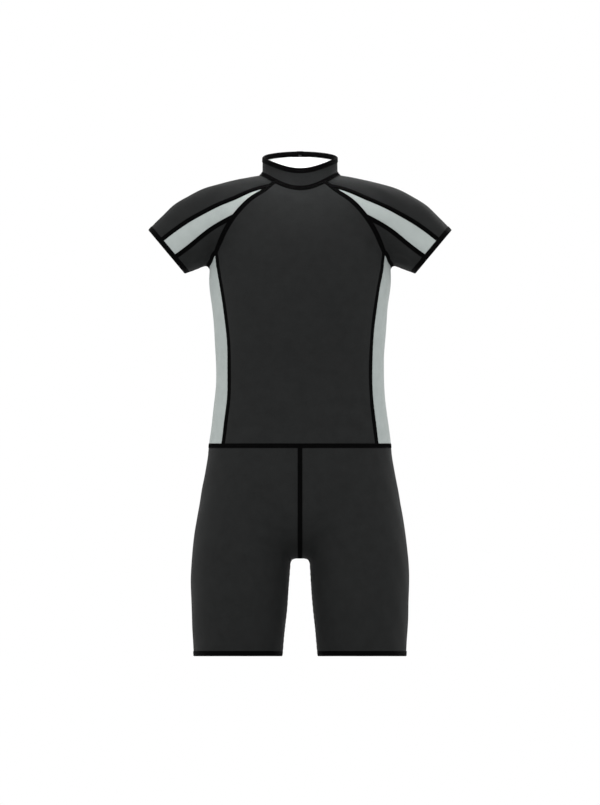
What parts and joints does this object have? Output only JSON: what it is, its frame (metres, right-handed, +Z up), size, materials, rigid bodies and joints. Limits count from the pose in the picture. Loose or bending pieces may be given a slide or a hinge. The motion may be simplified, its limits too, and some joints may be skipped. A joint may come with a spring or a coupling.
{
  "type": "unitard",
  "caption": "One-piece sports suit, filled out as worn: stand collar, short raglan sleeves with contrast stripes, side panels, short legs and a back zip.",
  "frame": {"origin": "middle of the neck's base, at the height where the collar meets the shoulders at its sides; the wearer's neck and shoulders hold the garment there", "axes": "+Z up, the front faces -Y, the wearer's left is at +X"},
  "size_m": [0.4838, 0.228, 0.8059],
  "materials": {
    "cloth_dark": "smooth stretch knit, near black",
    "cloth_grey": "smooth stretch knit, pale grey",
    "zip_black": "matt black tape and teeth",
    "metal_dark": "dark satin metal"
  },
  "bodies": {
    "suit": {"collar": "cloth_dark", "front": "cloth_dark", "back_left": "cloth_dark", "back_right": "cloth_dark", "side_left": "cloth_grey", "side_right": "cloth_grey", "sleeve_left_main": "cloth_dark", "sleeve_left_stripe": "cloth_grey", "sleeve_left_front": "cloth_dark", "sleeve_right_main": "cloth_dark", "sleeve_right_stripe": "cloth_grey", "sleeve_right_front": "cloth_dark", "shorts_left": "cloth_dark", "shorts_right": "cloth_dark", "zip_chain": "zip_black", "zip_slider": "metal_dark"},
    "pull": {"zip_pull": "metal_dark"}
  },
  "joints": [
    {"name": "pull_hinge", "type": "hinge", "parent": "suit", "child": "pull", "pos_m": [0, 0.0643, 0.02954], "axis": [1, 0, 0], "range_deg": [0, 160]}
  ]
}
